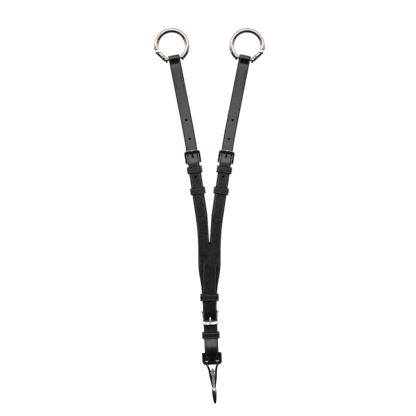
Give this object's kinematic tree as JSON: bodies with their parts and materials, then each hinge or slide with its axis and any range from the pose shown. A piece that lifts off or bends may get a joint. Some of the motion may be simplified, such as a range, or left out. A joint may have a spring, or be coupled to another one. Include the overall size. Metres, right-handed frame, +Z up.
{
  "type": "running martingale fork",
  "caption": "Leather running martingale fork: a slit yoke with buckled straps ending in sprung-gate rein rings, and a buckled lower strap ending in a snap hook.",
  "frame": {"origin": "half way between the two ring centres, on the line of the reins", "axes": "+Z up along the length, +X to the right of the front view, +Y to the back"},
  "size_m": [0.1606, 0.0243, 0.544],
  "materials": {
    "bridle_leather": "black, semi-gloss, bevelled and creased edges",
    "rose_plated_ring": "pale rose plating, polished",
    "bronze_plated_buckle": "dark rose-bronze plating, polished",
    "nickel_plated_fittings": "nickel plated, polished",
    "spring_steel": "bright wire"
  },
  "bodies": {
    "straps": {"yoke": "bridle_leather", "lower_strap": "bridle_leather", "snap_safe": "bridle_leather", "tail_keeper": "bridle_leather", "drop_keeper": "bridle_leather", "lower_buckle_frame": "nickel_plated_fittings", "left_strap": "bridle_leather", "left_buckle_frame": "bronze_plated_buckle", "left_keeper": "bridle_leather", "right_strap": "bridle_leather", "right_buckle_frame": "bronze_plated_buckle", "right_keeper": "bridle_leather"},
    "snap": {"snap_body": "nickel_plated_fittings", "snap_gate_pin": "nickel_plated_fittings", "snap_gate_spring": "spring_steel"},
    "snap_gate": {"snap_gate": "nickel_plated_fittings"},
    "lower_tongue": {"lower_buckle_tongue": "nickel_plated_fittings"},
    "left_ring": {"left_ring_body": "rose_plated_ring", "left_ring_gate_pin": "rose_plated_ring", "left_ring_gate_plunger": "spring_steel", "left_ring_gate_spring": "spring_steel"},
    "left_gate": {"left_ring_gate": "rose_plated_ring"},
    "left_tongue": {"left_buckle_tongue": "bronze_plated_buckle"},
    "left_runner": {"left_runner": "bridle_leather"},
    "right_ring": {"right_ring_body": "rose_plated_ring", "right_ring_gate_pin": "rose_plated_ring", "right_ring_gate_plunger": "spring_steel", "right_ring_gate_spring": "spring_steel"},
    "right_gate": {"right_ring_gate": "rose_plated_ring"},
    "right_tongue": {"right_buckle_tongue": "bronze_plated_buckle"},
    "right_runner": {"right_runner": "bridle_leather"}
  },
  "joints": [
    {"name": "left_ring_swing", "type": "hinge", "parent": "straps", "child": "left_ring", "pos_m": [-0.05101, 0, -0.01855], "axis": [0.9813, 0, 0.1925], "range_deg": [-120, 120]},
    {"name": "left_gate_open", "type": "hinge", "parent": "left_ring", "child": "left_gate", "pos_m": [-0.07502, 0, -0.00932], "axis": [0, 1, 0], "range_deg": [0, 32], "stiffness_Nm_per_rad": 0.02, "springref_deg": -20.05},
    {"name": "left_tongue_lift", "type": "hinge", "parent": "straps", "child": "left_tongue", "pos_m": [-0.02299, -0.0042, -0.16955], "axis": [0.989, 0, 0.1478], "range_deg": [0, 5]},
    {"name": "left_runner_slide", "type": "slide", "parent": "straps", "child": "left_runner", "axis": [-0.1478, 0, 0.989], "range_m": [-0.024, 0.02]},
    {"name": "right_ring_swing", "type": "hinge", "parent": "straps", "child": "right_ring", "pos_m": [0.05101, 0, -0.01855], "axis": [0.9813, 0, -0.1925], "range_deg": [-120, 120]},
    {"name": "right_gate_open", "type": "hinge", "parent": "right_ring", "child": "right_gate", "pos_m": [0.07502, 0, -0.00932], "axis": [0, -1, 0], "range_deg": [0, 32], "stiffness_Nm_per_rad": 0.02, "springref_deg": -20.05},
    {"name": "right_tongue_lift", "type": "hinge", "parent": "straps", "child": "right_tongue", "pos_m": [0.02299, -0.0042, -0.16955], "axis": [0.989, 0, -0.1478], "range_deg": [0, 5]},
    {"name": "right_runner_slide", "type": "slide", "parent": "straps", "child": "right_runner", "axis": [0.1478, 0, 0.989], "range_m": [-0.024, 0.02]},
    {"name": "lower_tongue_lift", "type": "hinge", "parent": "straps", "child": "lower_tongue", "pos_m": [0.00065, -0.0039, -0.38531], "axis": [-0.999, 0, -0.0436], "range_deg": [0, 5]},
    {"name": "snap_swing", "type": "hinge", "parent": "straps", "child": "snap", "pos_m": [0.00381, -0.004, -0.45754], "axis": [0.9973, 0, 0.0732], "range_deg": [-95, 10]},
    {"name": "snap_gate_open", "type": "hinge", "parent": "snap", "child": "snap_gate", "pos_m": [0.00483, -0.0005, -0.47151], "axis": [0.9973, 0, 0.0732], "range_deg": [0, 14], "stiffness_Nm_per_rad": 0.02, "springref_deg": -20.05}
  ]
}
